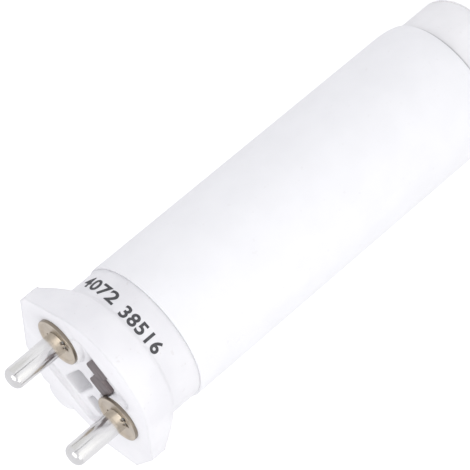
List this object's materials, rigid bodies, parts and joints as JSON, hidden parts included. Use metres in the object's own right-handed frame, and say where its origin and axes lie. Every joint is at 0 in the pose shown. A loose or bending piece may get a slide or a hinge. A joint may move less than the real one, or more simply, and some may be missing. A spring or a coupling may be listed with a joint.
{
  "type": "hot air heating element",
  "caption": "Ceramic tube heating element for a hot air tool, with a keyed flange and round contact pins.",
  "frame": {"origin": "centre of the outlet end, on the surface that the element stands on", "axes": "+Z along the element from the outlet end to the tips of the contact pins, X through both pins, +Y towards the key lobe of the flange"},
  "size_m": [0.0406, 0.0413, 0.124],
  "materials": {
    "base_ceramic": "white unglazed steatite, fine matt grain",
    "sleeve_ceramic": "white smooth insulating tube, matt",
    "core_ceramic": "off-white extruded cordierite, matt and faintly grooved",
    "pin_nickel": "nickel plated turned brass, polished",
    "washer_brass": "pale nickel brass, stamped, satin",
    "clip_steel": "dark heat-tinted spring steel",
    "steel_small": "plain zinc plated steel",
    "resistance_wire": "oxidised resistance wire, dull",
    "lead_nickel": "plain nickel wire"
  },
  "bodies": {
    "root": {"base": "base_ceramic", "sleeve": "sleeve_ceramic", "core_block_1": "core_ceramic", "core_block_2": "core_ceramic", "core_block_3": "core_ceramic", "core_block_4": "core_ceramic", "contact_pin_1": "pin_nickel", "contact_pin_2": "pin_nickel", "front_washer_1": "washer_brass", "front_washer_2": "washer_brass", "inner_washer_1": "steel_small", "inner_washer_2": "steel_small", "lead_lug_1": "steel_small", "lead_lug_2": "steel_small", "pin_nut_1": "steel_small", "pin_nut_2": "steel_small", "lead_wire_1": "lead_nickel", "lead_wire_2": "lead_nickel", "heating_coil": "resistance_wire", "tie_rod": "steel_small", "tie_rod_washer": "steel_small", "tie_rod_nut": "steel_small", "retaining_clip": "clip_steel"}
  },
  "joints": []
}
